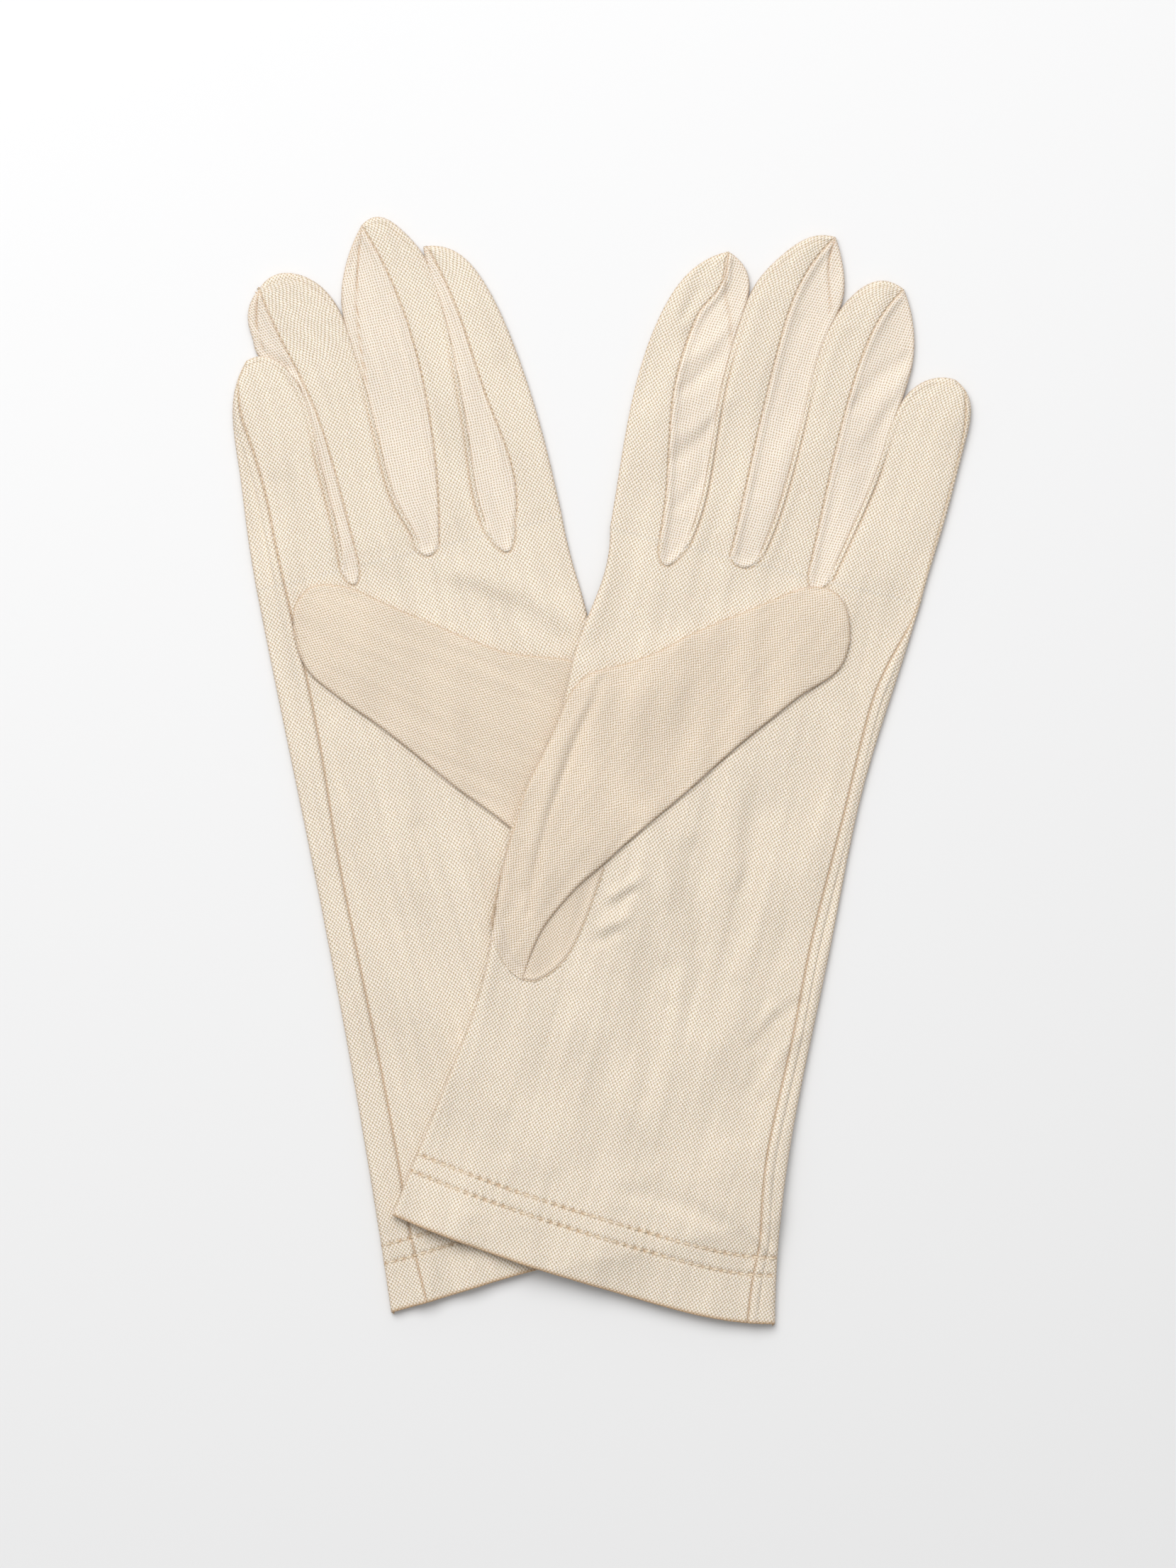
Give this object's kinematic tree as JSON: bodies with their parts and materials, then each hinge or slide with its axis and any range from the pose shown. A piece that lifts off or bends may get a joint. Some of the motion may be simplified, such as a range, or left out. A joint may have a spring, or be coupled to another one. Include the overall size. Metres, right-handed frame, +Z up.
{
  "type": "pair of gloves",
  "caption": "Pair of plain knitted dress gloves laid flat and crossed, palms up, with folded-in thumbs, side fourchettes in the fingers and a stitched cuff hem.",
  "frame": {"origin": "on the table, under the middle of the bounding box of the crossed pair", "axes": "+Z up from the table, +Y towards the fingertips along the middle of the pair, +X towards the left-hand glove, which lies on top"},
  "size_m": [0.1874, 0.281, 0.0097],
  "materials": {
    "glove_knit": "matte fine-gauge openwork knit, cream",
    "thumb_knit": "matte fine-gauge knit, cream, slightly closer texture",
    "fourchette_knit": "matte fine-gauge knit, cream, in shade",
    "sewing_thread": "satin sewing thread, cream"
  },
  "bodies": {
    "right_hand": {"right_back": "glove_knit", "right_palm": "glove_knit", "right_folded_edge": "glove_knit", "right_side_seam": "glove_knit", "right_hem_back": "glove_knit", "right_hem_palm": "glove_knit", "right_hem_stitching": "sewing_thread", "right_fourchette_crotches": "fourchette_knit", "right_thumb_foot": "thumb_knit", "right_thumb_seam": "sewing_thread"},
    "right_thumb": {"right_thumb_back": "thumb_knit", "right_thumb_front": "thumb_knit", "right_thumb_edges": "thumb_knit"},
    "right_index": {"right_index_back_strip": "glove_knit", "right_index_palm_strip": "glove_knit", "right_index_folded_edge": "glove_knit", "right_index_fourchette_little_side": "fourchette_knit"},
    "right_middle": {"right_middle_back_strip": "glove_knit", "right_middle_palm_strip": "glove_knit", "right_middle_fourchette_index_side": "fourchette_knit", "right_middle_fourchette_little_side": "fourchette_knit"},
    "right_ring": {"right_ring_back_strip": "glove_knit", "right_ring_palm_strip": "glove_knit", "right_ring_fourchette_index_side": "fourchette_knit", "right_ring_fourchette_little_side": "fourchette_knit"},
    "right_little": {"right_little_back_strip": "glove_knit", "right_little_palm_strip": "glove_knit", "right_little_fourchette_index_side": "fourchette_knit", "right_little_side_seam": "glove_knit"},
    "left_hand": {"left_back": "glove_knit", "left_palm": "glove_knit", "left_folded_edge": "glove_knit", "left_side_seam": "glove_knit", "left_hem_back": "glove_knit", "left_hem_palm": "glove_knit", "left_hem_stitching": "sewing_thread", "left_fourchette_crotches": "fourchette_knit", "left_thumb_foot": "thumb_knit", "left_thumb_seam": "sewing_thread", "left_thumb_gusset": "thumb_knit"},
    "left_thumb": {"left_thumb_back": "thumb_knit", "left_thumb_front": "thumb_knit", "left_thumb_edges": "thumb_knit"},
    "left_index": {"left_index_back_strip": "glove_knit", "left_index_palm_strip": "glove_knit", "left_index_folded_edge": "glove_knit", "left_index_fourchette_little_side": "fourchette_knit"},
    "left_middle": {"left_middle_back_strip": "glove_knit", "left_middle_palm_strip": "glove_knit", "left_middle_fourchette_index_side": "fourchette_knit", "left_middle_fourchette_little_side": "fourchette_knit"},
    "left_ring": {"left_ring_back_strip": "glove_knit", "left_ring_palm_strip": "glove_knit", "left_ring_fourchette_index_side": "fourchette_knit", "left_ring_fourchette_little_side": "fourchette_knit"},
    "left_little": {"left_little_back_strip": "glove_knit", "left_little_palm_strip": "glove_knit", "left_little_fourchette_index_side": "fourchette_knit", "left_little_side_seam": "glove_knit"}
  },
  "joints": [
    {"name": "right_index_fold", "type": "hinge", "parent": "right_hand", "child": "right_index", "pos_m": [-0.04944, 0.05588, 0.0024], "axis": [0.9715, 0.2368, 0], "range_deg": [0, 90]},
    {"name": "right_middle_fold", "type": "hinge", "parent": "right_hand", "child": "right_middle", "pos_m": [-0.04944, 0.05588, 0.0024], "axis": [0.9715, 0.2368, 0], "range_deg": [0, 90]},
    {"name": "right_ring_fold", "type": "hinge", "parent": "right_hand", "child": "right_ring", "pos_m": [-0.04944, 0.05588, 0.0024], "axis": [0.9715, 0.2368, 0], "range_deg": [0, 90]},
    {"name": "right_little_fold", "type": "hinge", "parent": "right_hand", "child": "right_little", "pos_m": [-0.04944, 0.05588, 0.0024], "axis": [0.9715, 0.2368, 0], "range_deg": [0, 90]},
    {"name": "left_index_fold", "type": "hinge", "parent": "left_hand", "child": "left_index", "pos_m": [0.03874, 0.05334, 0.0024], "axis": [0.9715, -0.2368, 0], "range_deg": [0, 90]},
    {"name": "left_middle_fold", "type": "hinge", "parent": "left_hand", "child": "left_middle", "pos_m": [0.03874, 0.05334, 0.0024], "axis": [0.9715, -0.2368, 0], "range_deg": [0, 90]},
    {"name": "left_ring_fold", "type": "hinge", "parent": "left_hand", "child": "left_ring", "pos_m": [0.03874, 0.05334, 0.0024], "axis": [0.9715, -0.2368, 0], "range_deg": [0, 90]},
    {"name": "left_little_fold", "type": "hinge", "parent": "left_hand", "child": "left_little", "pos_m": [0.03874, 0.05334, 0.0024], "axis": [0.9715, -0.2368, 0], "range_deg": [0, 90]},
    {"name": "left_thumb_fold", "type": "hinge", "parent": "left_hand", "child": "left_thumb", "pos_m": [-0.00864, -0.00716, 0.0097], "axis": [-0.2368, -0.9715, 0], "range_deg": [0, 150]},
    {"name": "right_thumb_lift", "type": "hinge", "parent": "right_hand", "child": "right_thumb", "pos_m": [-0.01708, 0.00736, 0.0047], "axis": [0.3297, 0.9441, 0], "range_deg": [0, 80]},
    {"name": "left_glove_lifts_off", "type": "slide", "parent": "right_hand", "child": "left_hand", "axis": [0, 0, 1], "range_m": [0, 0.15]}
  ]
}
